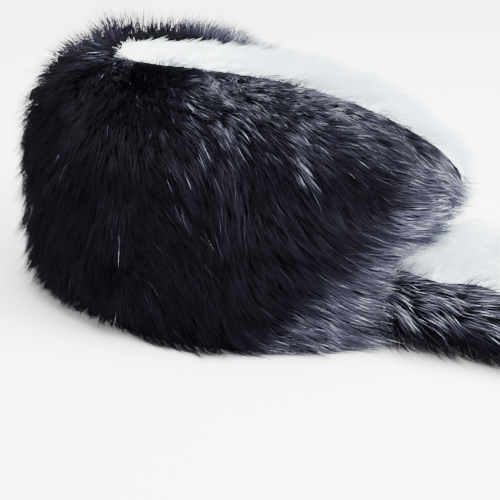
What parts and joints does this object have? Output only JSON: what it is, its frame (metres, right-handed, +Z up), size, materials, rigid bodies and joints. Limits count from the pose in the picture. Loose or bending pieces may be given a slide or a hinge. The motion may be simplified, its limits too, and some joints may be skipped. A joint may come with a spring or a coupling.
{
  "type": "skunk fur cap with tail",
  "caption": "Hollow fur cap for the head: deep black fur, a white stripe along the crown and a bushy black tail with a white top at the back.",
  "frame": {"origin": "middle of the footprint's bounding box, on the surface that the cap and its tail rest on", "axes": "+Z up, the wearer faces -Y, the wearer's left is +X, and the tail runs towards +Y"},
  "size_m": [0.2544, 0.51, 0.1655],
  "materials": {
    "hide": "tanned hide, matt, pale",
    "black_fur": "deep glossy blue-black fur",
    "white_fur": "fine white fur"
  },
  "bodies": {
    "root": {"hide_shell": "hide", "crown_fur": "black_fur", "band_fur": "black_fur", "stripe_fur": "white_fur", "tail_fur": "black_fur", "tail_stripe": "white_fur"}
  },
  "joints": []
}
